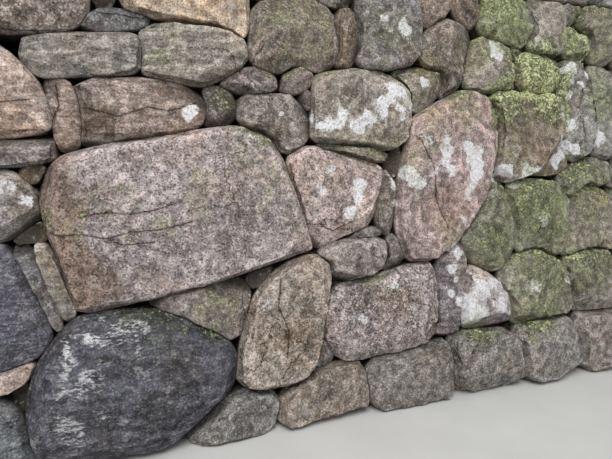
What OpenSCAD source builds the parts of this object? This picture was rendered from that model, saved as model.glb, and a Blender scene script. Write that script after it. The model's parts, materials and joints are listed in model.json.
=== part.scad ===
// Battered dry stone wall of large field stones, laid without mortar.
// Millimetres. X runs along the wall, Y through it, Z up.
// The origin is on the ground at the middle of the base, and the drawn face looks along -Y.

/* [Wall] */
// Length of the wall
wall_length = 3600; // [3000:10:4300]
// Height from the ground to the top of the cover stones
wall_height = 2080; // [1760:10:2480]
// Thickness of the wall at the ground
base_thickness = 1100; // [1040:10:1500]
// Lean of the front face, in degrees from upright
front_batter = 8; // [3:0.5:10]
// Lean of the back face, in degrees from upright
back_batter = 4; // [0:0.5:6]
// Height of the cover stones along the top
cover_height = 160; // [100:10:240]

/* [Face stones] */
// How far a nearly flat stone stands out of the face
slight_bulge = 18; // [8:1:26]
// How far an ordinary stone stands out of the face
usual_bulge = 40; // [28:1:50]
// How far a full-bellied stone stands out of the face
strong_bulge = 60; // [52:1:80]
// How far the great rounded boulder stands out of the face
boulder_bulge = 110; // [82:1:140]
// Depth of the front stones from the face to the hearting
front_depth = 320; // [240:10:380]
// Depth of the back stones from the face to the hearting
back_depth = 260; // [200:10:320]
// Depth of the end stones from the end of the wall to the hearting
end_depth = 260; // [180:10:340]
// How far behind the face two neighbours begin to touch
joint_recess = 28; // [15:1:60]
// How deep the bed is along which neighbours touch
bed_depth = 130; // [80:5:180]
// Share of an edge that a worn corner takes off
corner_wear = 0.2; // [0.12:0.01:0.3]
// The most that a worn corner takes off a long edge
corner_reach = 40; // [25:5:90]
// Size of a stone's tail as a share of its face
tail_share = 0.84; // [0.7:0.01:0.95]
// How far the footing stones stand out in front of the face
footing_step = 40; // [0:5:80]

/* [Back face] */
// Stones in each course of the back
back_stones = 7; // [6:1:9]
// Courses in the back and in the ends
back_courses = 6; // [5:1:7]
// How much lower the courses get towards the top (1 keeps them alike)
course_taper = 1.15; // [1:0.05:1.4]
// How far the bed joints of the back and the ends rise and fall
bed_wander = 24; // [0:2:40]
// How far an ordinary back stone stands out of its face
back_bulge = 24; // [10:1:40]
// How much more or less some back stones stand out, as a share
bulge_variety = 0.4; // [0:0.05:0.6]

/* [Hidden] */
// Joint points of the front face: [along from the left end, up from the ground], in drawing units
// that share out the wall's length and the height of its face.
// Each row runs from left to right at about one height, and neighbours share these points.
a = [[0, 0], [44, 0], [90, 0], [128, 0], [170, 0], [214, 0], [254, 0], [292, 0], [328, 0], [360, 0]];
b = [[0, 24], [16, 28], [33, 26], [39, 18], [40, 9], [113, 17], [131, 14], [146, 20], [157, 22],
    [170, 21], [207, 25], [212, 26], [220, 28], [250, 27], [268, 29], [289, 30], [308, 30],
    [325, 29], [344, 30], [360, 26]];
c = [[0, 38], [20, 33], [32, 34], [41, 30], [44, 37], [50, 45], [96, 46], [115, 34], [150, 36],
    [208, 42], [222, 44], [250, 41], [290, 44], [328, 44]];
d = [[53, 48], [57, 51], [78, 54], [100, 58], [118, 61], [122, 54], [134, 65], [155, 54],
    [156, 64], [180, 58], [194, 61], [208, 62], [226, 60], [242, 53], [255, 62], [268, 65],
    [284, 58], [304, 64], [322, 60], [344, 62], [360, 56]];
e = [[0, 68], [10, 77], [24, 80], [36, 78], [43, 78], [47, 63], [54, 61], [49, 78], [41, 82],
    [47, 86], [149, 69], [160, 74], [147, 78], [185, 66], [183, 74], [188, 76], [178, 80],
    [223, 73], [256, 78], [288, 72], [326, 78]];
f = [[0, 94], [18, 96], [45, 97], [38, 104], [26, 105], [142, 95], [180, 92], [190, 98],
    [235, 88], [242, 102], [250, 97], [266, 101], [284, 101], [292, 88], [302, 98], [318, 94],
    [344, 96], [360, 88]];
g = [[0, 116], [14, 114], [20, 112], [36, 114], [51, 117], [54, 109], [50, 106], [60, 111],
    [72, 114], [90, 117], [137, 109], [149, 115], [164, 111], [184, 106], [188, 112],
    [168, 115], [196, 117], [277, 107], [295, 107], [287, 119], [307, 112], [324, 108]];
h = [[10, 130], [52, 124], [61, 120], [60, 130], [104, 120], [107, 128], [118, 122],
    [131, 118], [118, 134], [150, 127], [199, 128], [247, 126], [290, 132], [313, 128],
    [330, 126], [346, 126], [360, 120]];
k = [[0, 148], [16, 144], [30, 151], [41, 143], [43, 151], [47, 136], [57, 137], [68, 138],
    [82, 140], [83, 150], [86, 139], [104, 136], [110, 138], [124, 147], [136, 136], [136, 143],
    [144, 135], [151, 139], [144, 148], [153, 145], [162, 147], [172, 149], [188, 148],
    [198, 141], [214, 136], [219, 148], [228, 143], [242, 141], [262, 143], [287, 143],
    [326, 146]];
l = [[0, 168], [17, 160], [60, 154], [66, 163], [81, 156], [90, 161], [74, 165], [116, 160],
    [124, 156], [165, 158], [175, 160], [204, 153], [230, 156], [261, 158], [268, 165],
    [290, 153], [291, 162], [309, 161], [326, 160], [342, 158], [360, 152]];
m = [[126, 172], [146, 180], [163, 174], [173, 176], [207, 168], [224, 178], [238, 170],
    [258, 167], [274, 178], [292, 178], [304, 182], [313, 174], [332, 176], [360, 174]];
// The levelled bed under the cover stones, in drawing units
level = 192;
n = [for (x = [0, 24, 63, 78, 122, 150, 176, 202, 226, 244, 270, 294, 308, 330, 360]) [x, level]];
// Upright joints of the cover stones, at the foot and at the top of the course
cover_foot = [0, 45, 92, 140, 184, 228, 270, 316, 360];
cover_top = [0, 43, 94, 138, 186, 226, 272, 314, 360];
// How high each cover stone rises at its left and its right, as shares of the course
cover_rise = [[0.88, 0.93], [1, 1], [0.84, 0.9], [0.96, 0.87], [0.9, 0.98], [0.86, 0.8], [1, 0.93],
    [0.9, 0.84]];

// A stone that doesn't stand out of the face at all
flush = 0;
// How a stone swells from its joints to its crown: [share of the bulge, share of the outline]
flat = [[1, 0.93], [0.62, 0.98]];
round = [[1, 0.66], [0.6, 0.91]];
plain = [[1, 0.9]];
// Upright joints of the back, as shares of a stone: places in the even and the odd courses, and wander
even_joint = 0.16;
odd_joint = -0.22;
joint_wander = 0.12;
// Turns in degrees that keep the back stones from looking alike, and the places that wander by themselves
stone_turn = 97;
course_turn = 151;
place_turn = 40;
foot = 0;
head = 1;
face = 2;
// The back stones are told apart in three sets, so that none touches another of its set
back_sets = 3;

length_units = a[len(a) - 1][0];
level_height = wall_height - cover_height;
along_unit = wall_length / length_units;
up_unit = level_height / level;
front_slope = tan(front_batter);
back_slope = tan(back_batter);

// Where the two faces of the wall stand at a height
function front_y(z) = -base_thickness / 2 + z * front_slope;
function back_y(z) = base_thickness / 2 - z * back_slope;
function hearting_front_y(z) = front_y(z) + front_depth;
function hearting_back_y(z) = back_y(z) - back_depth;

function middle(points) = [for (i = [0, 1]) sum([for (p = points) p[i]]) / len(points)];
function sum(values, i = 0) = i == len(values) ? 0 : values[i] + sum(values, i + 1);
function to_mm(points) = [for (p = points) [p[0] * along_unit - wall_length / 2, p[1] * up_unit]];

// An outline with each corner worn off
function worn(points) = [for (i = [0:len(points) - 1])
    let (p = points[i], before = points[(i + len(points) - 1) % len(points)],
        after = points[(i + 1) % len(points)])
    each [worn_back(p, before), worn_back(p, after)]];

// Where the wear of a corner ends on the edge to the next corner
function worn_back(corner, next) =
    corner + (next - corner) * min(corner_wear, corner_reach / norm(next - corner));

// An outline drawn in towards a point of its own
function drawn_in(points, towards, share) = [for (p = points) towards + (p - towards) * share];

// Rings of points, one behind another, closed into one mesh
function loft(rings) =
    let (count = len(rings[0]), last = len(rings) - 1)
    [[for (ring = rings) each ring],
        concat(
            [[for (i = [0:count - 1]) i]],
            [for (r = [0:last - 1], i = [0:count - 1])
                let (j = (i + 1) % count)
                [r * count + i, (r + 1) * count + i, (r + 1) * count + j, r * count + j]],
            [[for (i = [count - 1:-1:0]) last * count + i]])];

// Rings seen from the front, with the crown first
function front_ring(points, depth) = [for (p = points) [p[0], front_y(p[1]) + depth, p[1]]];
function back_ring(points, depth) = [for (p = points) [p[0], back_y(p[1]) - depth, p[1]]];

// A face stone: swelling crown, full size along its bed, and a tail drawn in to the hearting.
// The crown may lie off the middle of the outline, by drawing units.
function face_stone(joints, bulge = usual_bulge, kind = round, crown = [0, 0], step = 0) =
    let (outline = worn(to_mm(joints)), centre = middle(outline),
        towards = centre + [crown[0] * along_unit, crown[1] * up_unit], edge = joint_recess - step)
    loft(concat(
        [for (swell = kind)
            front_ring(drawn_in(outline, towards, swell[1]), edge - (joint_recess + bulge) * swell[0])],
        [front_ring(outline, edge),
            front_ring(outline, joint_recess + bed_depth),
            front_ring(drawn_in(outline, centre, tail_share), front_depth)]));

// A number from -1 to 1 that differs from stone to stone and from place to place on it
function wander(i, course, place) = sin(stone_turn * i + course_turn * course + place_turn * place);

// Height of the bed under a course of the back and the ends, in drawing units
function bed(course) = level * (1 - pow(1 - course / back_courses, course_taper));
function inner_bed(course) = course > 0 && course < back_courses;

// The joint left of a stone of the back, at its foot or at its head
function back_joint(course, i, place) =
    i == 0 ? [0, bed(course + place)]
    : i == back_stones ? [length_units, bed(course + place)]
    : [length_units / back_stones
            * (i + (course % 2 == 0 ? even_joint : odd_joint) + joint_wander * wander(i, course, place)),
        bed(course + place)
            + (inner_bed(course + place) ? bed_wander / up_unit * wander(course, i, place) : 0)];

// The outline of a back stone takes in the joints that meet it from the courses below and above
function back_joints(course, i) =
    let (met = course % 2 == 0 ? i + 1 : i, inside = met > 0 && met < back_stones)
    [back_joint(course, i, foot),
        if (inside && course > 0) back_joint(course - 1, met, head),
        back_joint(course, i + 1, foot),
        back_joint(course, i + 1, head),
        if (inside && course < back_courses - 1) back_joint(course + 1, met, foot),
        back_joint(course, i, head)];

// The stones of the back are drawn from the front too, so their rings run the other way
function back_stone(joints, bulge) =
    let (outline = worn(to_mm(joints)), centre = middle(outline))
    loft([back_ring(drawn_in(outline, centre, tail_share), back_depth),
        back_ring(outline, joint_recess + bed_depth),
        back_ring(outline, joint_recess),
        back_ring(drawn_in(outline, centre, plain[0][1]), -bulge)]);

// A point on an upright joint of the cover course; rise is a share of the course
function cover_joint(i, rise) =
    [cover_foot[i] + (cover_top[i] - cover_foot[i]) * rise, level + rise * cover_height / up_unit];

// A cover stone lies right across the wall
function cover_stone(i, bulge) =
    let (outline = worn(to_mm([cover_joint(i, 0), cover_joint(i + 1, 0),
            cover_joint(i + 1, cover_rise[i][1]), cover_joint(i, cover_rise[i][0])])),
        centre = middle(outline))
    loft([front_ring(drawn_in(outline, centre, plain[0][1]), -bulge),
        front_ring(outline, joint_recess),
        back_ring(outline, joint_recess),
        back_ring(drawn_in(outline, centre, plain[0][1]), -bulge)]);

// Where two end stones meet half way through the wall
function end_bed_middle(course) =
    let (z = bed(course) * up_unit)
    [(hearting_front_y(z) + hearting_back_y(z)) / 2,
        z + (inner_bed(course) ? bed_wander * wander(course, 0, face) : 0)];

// An end stone closes the gap between the front and back stones; side is -1 left, 1 right
function end_stone(course, side) =
    let (low = bed(course) * up_unit, high = bed(course + 1) * up_unit,
        outline = worn([[hearting_front_y(low), low], end_bed_middle(course), [hearting_back_y(low), low],
            [hearting_back_y(high), high], end_bed_middle(course + 1), [hearting_front_y(high), high]]),
        centre = middle(outline),
        turned = side < 0 ? reversed(outline) : outline,
        ring = function(share, depth) [for (p = drawn_in(turned, centre, share))
            [side * (wall_length / 2 - depth), p[0], p[1]]])
    loft([ring(plain[0][1], 0), ring(1, joint_recess), ring(1, end_depth)]);

function reversed(list) = [for (i = [len(list) - 1:-1:0]) list[i]];

// One mesh of several stones that don't touch one another
module stones(forms) {
    starts = [for (i = [0:len(forms) - 1]) sum([for (s = [0:1:i - 1]) len(forms[s][0])])];
    polyhedron(
        points = [for (form = forms) each form[0]],
        faces = [for (i = [0:len(forms) - 1], face = forms[i][1]) [for (v = face) v + starts[i]]]);
}

// Fill of small stones between the two faces
module hearting() {
    outline = [for (z = [0, level_height]) each [[hearting_front_y(z), z], [hearting_back_y(z), z]]];
    color("dimgray")
        translate([-wall_length / 2 + end_depth, 0, 0])
            rotate([90, 0, 90])
                linear_extrude(wall_length - 2 * end_depth)
                    polygon([outline[0], outline[1], outline[3], outline[2]]);
}

module great_stone()
    color("rosybrown")
        stones([face_stone([d[1], d[2], d[3], d[4], d[6], e[10], e[12], f[5], g[10], h[7],
            h[6], h[4], g[9], g[8], g[7], g[5], g[6], f[2], e[9], e[7], e[6]], usual_bulge, flat)]);

module dark_boulder()
    color("darkslategray")
        stones([face_stone([a[1], a[2], b[5], c[7], c[6], d[2], d[1], d[0], c[5], c[4], c[3],
            b[3], b[4]], boulder_bulge, round, [-4, -6])]);

module leaning_red_stone()
    color("indianred")
        stones([face_stone([d[10], d[11], e[17], f[8], f[9], h[11], k[27], k[26], k[24], h[10],
            g[16], f[7], e[15]], strong_bulge, flat, [2, 4])]);

module granite_block()
    color("silver")
        stones([face_stone([b[8], b[9], b[10], c[9], d[11], d[10], d[9], d[7], c[8]],
            usual_bulge, flat)]);

module tan_upright()
    color("tan")
        stones([face_stone([b[5], b[6], b[7], c[8], d[7], d[8], e[10], d[6], d[5], c[7]],
            strong_bulge, flat, [-2, 6])]);

module pink_stone()
    color("lightpink")
        stones([face_stone([e[10], e[11], e[16], f[6], g[13], g[12], g[11], g[10], f[5], e[12]],
            usual_bulge, flat)]);

module oval_stone()
    color("sienna")
        stones([face_stone([d[7], d[9], e[13], e[14], e[11], e[10], d[8]], usual_bulge, round)]);

module long_tan_stone()
    color("burlywood")
        stones([face_stone([g[7], g[8], g[9], h[4], h[5], k[11], k[10], k[7], k[6], h[3], h[2]],
            usual_bulge, round, [0, 2])]);

// Long flat stones split along their layers
module banded_stones()
    color("gray")
        stones([face_stone([k[3], k[5], k[6], k[7], k[8], k[9], l[4], l[2], k[4]], usual_bulge, flat),
            face_stone([f[4], f[3], g[6], g[5], g[4], g[3], g[2]], slight_bulge, plain)]);

// Slim stones set on end between the large ones
module slim_uprights()
    color("peru")
        stones([face_stone([d[0], d[1], e[6], e[7], e[4], e[5]], slight_bulge, plain),
            face_stone([g[5], g[7], h[2], h[3], k[6], k[5], h[1], g[4]], slight_bulge, plain),
            face_stone([e[16], e[14], e[15], f[7], g[13], f[6]], slight_bulge, plain),
            face_stone([b[10], b[11], b[12], c[10], d[12], e[17], d[11], c[9]], slight_bulge, plain)]);

module thin_slabs()
    color("sandybrown")
        stones([face_stone([c[5], d[0], e[5], e[4], e[3]], flush, flat),
            face_stone([b[1], b[2], c[3], c[4], c[2], c[1]], slight_bulge, plain),
            face_stone([g[11], g[12], g[13], g[14], g[15]], slight_bulge, plain)]);

module left_grey_boulder()
    color("slategray")
        stones([face_stone([c[0], c[1], c[2], c[4], c[5], e[3], e[2], e[1], e[0]], strong_bulge, round,
            [4, 0])]);

module left_tan_stone()
    color("tan")
        stones([face_stone([g[1], g[2], g[3], g[4], h[1], k[5], k[3], k[2], k[1], h[0]],
            usual_bulge, flat)]);

module round_pale_stone()
    color("antiquewhite")
        stones([face_stone([e[2], e[3], e[8], e[9], f[2], f[3], f[4], f[1]], usual_bulge, round)]);

module grey_foot_stone()
    color("cadetblue")
        stones([face_stone([a[0], a[1], b[4], b[3], b[2], b[1], b[0]], usual_bulge, round)]);

module rounded_brown_stone()
    color("saddlebrown")
        stones([face_stone([h[6], h[7], g[10], g[11], h[9], k[16], k[14], h[8]], usual_bulge, round)]);

module lichen_stone()
    color("gainsboro")
        stones([face_stone([g[11], g[15], g[14], g[16], h[10], k[23], k[22], k[21], k[20],
            k[19], k[17], h[9]], usual_bulge, flat)]);

module grey_block()
    color("darkgray")
        stones([face_stone([k[8], k[10], k[11], k[12], k[13], l[8], l[7], l[5], l[4], k[9]],
            usual_bulge, flat)]);

module top_granite()
    color("rosybrown")
        stones([face_stone([k[2], k[4], l[2], l[3], n[2], n[1], l[1]], usual_bulge, flat)]);

module orange_top_stone()
    color("sandybrown")
        stones([face_stone([l[6], l[5], l[7], l[8], m[0], n[4], n[3]], usual_bulge, flat)]);

module purple_brown_stone()
    color("mediumpurple")
        stones([face_stone([c[6], c[7], d[5], d[4], d[3], d[2]], slight_bulge, plain)]);

module pale_base_stone()
    color("gainsboro")
        stones([face_stone([b[12], b[13], c[11], d[13], d[12], c[10]], strong_bulge, round)]);

module mossy_shelf_stone()
    color("yellowgreen")
        stones([face_stone([f[9], f[10], f[11], g[17], g[19], h[12], k[29], k[28], k[27],
            h[11]], strong_bulge, flat)]);

module tall_lichen_stone()
    color("lavender")
        stones([face_stone([g[18], g[20], h[13], l[17], l[16], l[15], k[29], h[12], g[19]],
            usual_bulge, flat)]);

module bright_moss_stone()
    color("greenyellow")
        stones([face_stone([k[28], k[29], l[15], l[16], l[14], l[13]], usual_bulge, round)]);

// Stones of the right half under the moss, low, middle and high in turn
module mossy_stones_a()
    color("olivedrab")
        stones([face_stone([d[12], d[13], d[14], e[18], f[10], f[9], f[8], e[17]], usual_bulge, round),
            face_stone([b[15], b[16], b[17], c[13], d[18], d[17], d[16], c[12]], strong_bulge, round),
            face_stone([f[13], f[14], f[15], g[21], g[20], g[18], f[12]], usual_bulge, round),
            face_stone([k[26], k[27], k[28], l[13], m[7], m[6], l[12]], usual_bulge, round),
            face_stone([l[16], l[17], m[11], m[10], m[9]], usual_bulge, round)]);

module mossy_stones_b()
    color("darkolivegreen")
        stones([face_stone([b[13], b[14], b[15], c[12], d[16], d[15], d[14], d[13], c[11]],
            strong_bulge, round),
            face_stone([d[16], d[17], d[18], e[20], f[15], f[14], f[13], e[19]], usual_bulge, plain),
            face_stone([g[20], g[21], h[14], k[30], l[18], l[17], h[13]], usual_bulge, plain),
            face_stone([m[6], m[7], l[14], m[8], n[10], n[9]], usual_bulge, round)]);

module mossy_stones_c()
    color("olive")
        stones([face_stone([d[14], d[15], d[16], e[19], f[13], f[12], f[11], f[10], e[18]],
            strong_bulge, round),
            face_stone([l[14], l[16], m[9], n[11], n[10], m[8]], usual_bulge, flat),
            face_stone([l[17], l[18], m[12], n[13], n[12], m[10], m[11]], usual_bulge, plain)]);

module upper_stones_a()
    color("sienna")
        stones([face_stone([k[13], k[15], k[18], k[19], k[20], l[9], m[2], m[1], m[0], l[8]],
            usual_bulge, round),
            face_stone([k[21], k[22], l[11], m[4], n[7], n[6], m[3], l[10]], usual_bulge, flat),
            face_stone([h[4], h[6], h[8], k[12], k[11], h[5]], flush, round),
            face_stone([l[3], l[6], n[3], n[2]], slight_bulge, plain),
            face_stone([m[5], m[6], n[9], n[8]], slight_bulge, plain),
            face_stone([m[9], m[10], n[12], n[11]], slight_bulge, plain)]);

module upper_stones_b()
    color("chocolate")
        stones([face_stone([k[20], k[21], l[10], m[3], m[2], l[9]], slight_bulge, plain),
            face_stone([h[10], k[24], k[25], l[11], k[22], k[23]], slight_bulge, plain),
            face_stone([m[0], m[1], n[5], n[4]], slight_bulge, plain),
            face_stone([m[4], m[5], n[8], n[7]], slight_bulge, plain),
            face_stone([l[2], l[4], l[5], l[6], l[3]], slight_bulge, plain),
            face_stone([k[12], h[8], k[14], k[15], k[13]], slight_bulge, plain)]);

module upper_stones_c()
    color("peru")
        stones([face_stone([k[24], k[26], l[12], m[6], m[5], m[4], l[11], k[25]], usual_bulge, round),
            face_stone([m[1], m[2], m[3], n[6], n[5]], slight_bulge, plain),
            face_stone([k[14], k[16], k[17], k[19], k[18], k[15]], slight_bulge, plain)]);

// Stones of the two ends, which run through to the end faces
module head_stones_a()
    color("darkgray")
        stones([face_stone([b[0], b[1], c[1], c[0]], slight_bulge, plain),
            face_stone([e[0], e[1], e[2], f[1], f[0]], usual_bulge, plain),
            face_stone([g[0], g[1], h[0], k[1], k[0]], usual_bulge, plain),
            face_stone([l[0], l[1], n[1], n[0]], usual_bulge, plain),
            face_stone([b[17], b[18], b[19], d[20], d[19], d[18], c[13]], usual_bulge, plain),
            face_stone([f[15], f[16], f[17], h[16], h[15], h[14], g[21]], usual_bulge, plain),
            face_stone([l[18], l[19], l[20], m[13], m[12]], usual_bulge, plain)]);

module head_stones_b()
    color("gray")
        stones([face_stone([f[0], f[1], f[4], g[2], g[1], g[0]], usual_bulge, plain),
            face_stone([k[0], k[1], k[2], l[1], l[0]], usual_bulge, plain),
            face_stone([d[18], d[19], d[20], f[17], f[16], f[15], e[20]], usual_bulge, plain),
            face_stone([h[14], h[15], h[16], l[20], l[19], l[18], k[30]], usual_bulge, plain),
            face_stone([m[12], m[13], n[14], n[13]], usual_bulge, plain)]);

// Footing stones carry the right half, where the ground rises in front of the wall
module footings_a()
    color("dimgray")
        stones([face_stone([a[2], a[3], b[6], b[5]], usual_bulge, plain, step = footing_step),
            face_stone([a[4], a[5], b[11], b[10], b[9]], usual_bulge, plain, step = footing_step),
            face_stone([a[6], a[7], b[15], b[14], b[13]], usual_bulge, plain, step = footing_step),
            face_stone([a[8], a[9], b[19], b[18], b[17]], usual_bulge, plain, step = footing_step)]);

module footings_b()
    color("slategray")
        stones([face_stone([a[3], a[4], b[9], b[8], b[7], b[6]],
            usual_bulge, plain, step = footing_step),
            face_stone([a[5], a[6], b[13], b[12], b[11]], usual_bulge, plain, step = footing_step),
            face_stone([a[7], a[8], b[17], b[16], b[15]], usual_bulge, plain, step = footing_step)]);

// Small stones wedged into the corners between the large ones
module pinning_stones()
    color("rosybrown")
        stones([for (corner = [[b[3], c[3], b[2]], [e[3], e[4], e[7], e[9], e[8]],
                [f[3], f[2], g[6]], [d[5], d[6], d[4]], [b[7], b[8], c[8]],
                [e[11], e[14], e[16]], [k[16], h[9], k[17]], [d[9], d[10], e[15], e[14], e[13]],
                [g[13], f[7], g[16], g[14]], [f[11], f[12], g[18], g[19], g[17]],
                [l[13], l[14], m[7]]])
            face_stone(corner, flush, plain)]);

module cover_stones_a()
    color("lightslategray")
        stones([for (i = [0:2:len(cover_foot) - 2]) cover_stone(i, slight_bulge)]);

module cover_stones_b()
    color("slategray")
        stones([for (i = [1:2:len(cover_foot) - 2]) cover_stone(i, usual_bulge)]);

// Every third stone of a course, begun one stone on in the odd courses
module back_set(set)
    stones([for (course = [0:back_courses - 1], i = [0:back_stones - 1])
        if ((i + course % 2) % back_sets == set)
            back_stone(back_joints(course, i),
                back_bulge * (1 + bulge_variety * wander(i, course, face)))]);

module back_stones_a()
    color("tan")
        back_set(0);

module back_stones_b()
    color("rosybrown")
        back_set(1);

module back_stones_c()
    color("darkgray")
        back_set(2);

module end_set(first_course)
    stones([for (course = [first_course:2:back_courses - 1], side = [-1, 1]) end_stone(course, side)]);

module end_stones_a()
    color("gray")
        end_set(0);

module end_stones_b()
    color("darkgray")
        end_set(1);

hearting();
great_stone();
dark_boulder();
leaning_red_stone();
granite_block();
tan_upright();
pink_stone();
oval_stone();
long_tan_stone();
banded_stones();
slim_uprights();
thin_slabs();
left_grey_boulder();
left_tan_stone();
round_pale_stone();
grey_foot_stone();
rounded_brown_stone();
lichen_stone();
grey_block();
top_granite();
orange_top_stone();
purple_brown_stone();
pale_base_stone();
mossy_shelf_stone();
tall_lichen_stone();
bright_moss_stone();
mossy_stones_a();
mossy_stones_b();
mossy_stones_c();
upper_stones_a();
upper_stones_b();
upper_stones_c();
head_stones_a();
head_stones_b();
footings_a();
footings_b();
pinning_stones();
cover_stones_a();
cover_stones_b();
back_stones_a();
back_stones_b();
back_stones_c();
end_stones_a();
end_stones_b();
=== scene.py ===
"""Looks of the dry stone wall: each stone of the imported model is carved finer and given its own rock."""

import json
import math

import bpy
import numpy as np
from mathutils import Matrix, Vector


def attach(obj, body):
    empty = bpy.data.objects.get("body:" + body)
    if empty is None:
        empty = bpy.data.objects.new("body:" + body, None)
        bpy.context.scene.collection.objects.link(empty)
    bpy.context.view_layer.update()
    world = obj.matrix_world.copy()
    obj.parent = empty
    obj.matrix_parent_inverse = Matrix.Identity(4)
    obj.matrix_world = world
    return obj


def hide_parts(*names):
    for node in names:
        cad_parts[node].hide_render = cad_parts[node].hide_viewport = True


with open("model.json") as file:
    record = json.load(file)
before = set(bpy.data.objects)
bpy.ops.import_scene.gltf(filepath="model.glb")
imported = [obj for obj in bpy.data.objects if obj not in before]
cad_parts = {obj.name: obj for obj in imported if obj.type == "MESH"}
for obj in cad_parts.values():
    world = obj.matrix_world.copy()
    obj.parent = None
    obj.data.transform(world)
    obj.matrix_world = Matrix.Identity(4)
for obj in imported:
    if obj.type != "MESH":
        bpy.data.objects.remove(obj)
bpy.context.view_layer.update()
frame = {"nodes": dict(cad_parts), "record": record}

# The wall's own sizes, in metres. The cover stones lie at FACE_TOP, and the joints between the stones of
# the face lie JOINT_RECESS behind it.
BASE_THICKNESS = 1.1
FRONT_SLOPE = math.tan(math.radians(8))
BACK_SLOPE = math.tan(math.radians(4))
HALF_LENGTH = 1.8
FACE_TOP = 1.92
JOINT_RECESS = 0.028
# One unit of the face drawing, whose places are (along from the left end, up from the ground)
UNIT = 0.01

# The photograph's view
PHOTO_WIDTH = 612
FOCAL_PIXELS = 460
CAMERA_PLACE = (-0.974, -2.250, 1.025)
CAMERA_YAW = math.radians(19)
CAMERA_PITCH = math.radians(7)
SENSOR_WIDTH = 36

# How finely each part of the wall is carved: mean face size in metres
SEEN_VOXEL = 0.0083
FAR_VOXEL = 0.013
BACK_VOXEL = 0.019
COVER_VOXEL = 0.018
# Stones of the face wholly outside these limits, in drawing units along it, are carved coarser
SEEN_FROM, SEEN_TO = 20, 325

# The hidden tail of a stone is drawn in for the carving, so that few faces are spent on it
FULL_DETAIL_DEPTH = 0.055
HIDDEN_SQUEEZE = 5
HIDDEN_SHRINK = 0.8

# About how wide the broken planes on a stone are, the fewest and the most on one stone, how far they
# tilt and stand out, and how ragged the lines between them are
PLANE_WIDTH = 0.11
PLANE_COUNTS = (3, 40)
PLANE_TILT = 0.6
PLANE_STEP = 0.6
PLANE_RAGGED = 0.3
# A stone that comes this near the end of the wall shows its side there, and its tail tapers in from the
# end by at most END_TAPER
AT_END = 0.005
END_TAPER = 0.08
# The deepest that a flat cut goes into a stone on each side of the wall; stones less than a third of a
# metre long get shallower cuts
FACET_DEPTH = {"front": 0.03, "back": 0.02, "end": 0.02, "cover": 0.016}
FACET_SHARE = 3
# Every third cut is turned little from the outer side, and the others more
LITTLE_TURNED, MUCH_TURNED = 0.25, 0.6
# A cut takes off this share of what stands over it, so that it doesn't come out quite flat
CUT_SHARE = 0.95

# Widths in metres of the finer carving, then the height of a moss cushion and how uneven it is
ROUGH_WIDTH = 0.045
PIT_WIDTH = 0.03
LAYER_WIDTH = 0.024
CUSHION_WIDTH = 0.025
CUSHION_HEIGHT = 0.009
CUSHION_UNEVEN = 0.005
# Points that stand off their neighbours by more than this share of a face are drawn in, as far as this
# many metres behind the wall's surface
SPIKE_SHARE = 0.45
SPIKE_DEPTH = 0.04
SPIKE_PASSES = 4
# A drawn crack is measured up to this many drawing units away
CRACK_REACH = 5
# The stone darkens, as dirt and painted shade, from the face to this much deeper than the joint's recess
DIRT_AND_SHADE_DEEPER = 0.012
# How strongly a bulge counts towards the pale wear and painted highlight, and a hollow towards painted
# shade, against the square of the face size
WEAR_AND_SHADE_BULGE = 17

# Panels of light: name, place, what each points at, width in metres, watts
PANELS = [
    ("sky_panel", (-1.8, -4.2, 5.6), (0, 0, 0.9), 4.5, 330),
    ("back_panel", (2.5, 5, 5), (0, 0, 0.9), 4, 200),
]
# The sky's colour, and its strength as it lights the stone and as the view shows it
SKY_COLOUR = (0.94, 0.97, 1, 1)
SKY_ON_STONE = 0.62
SKY_IN_VIEW = 0.9
# Half the width of the floor, in metres
FLOOR_REACH = 14

# Each stone has its own random numbers. Its seed is the first of these, plus the second for each node
# before its own, plus the third for each stone before it in the node.
FIRST_SEED, NODE_SEEDS, STONE_SEEDS = 100, 37, 5
# Seeds of the noises: the first six are added to the stone's own, the others run on from stone to stone
SEEDS = dict(rough=11, pits=17, wander=29, layers=31, tufts=41, cushions=43,
             moss=5, lichen=9, stain=13, far_moss=3, far_lichen=8, far_stain=23)


def srgb(r, g, b):
    """A linear colour from 0..255 screen values."""
    def channel(v):
        v /= 255
        return v / 12.92 if v <= 0.04045 else ((v + 0.055) / 1.055) ** 2.4
    return (channel(r), channel(g), channel(b), 1)


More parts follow.
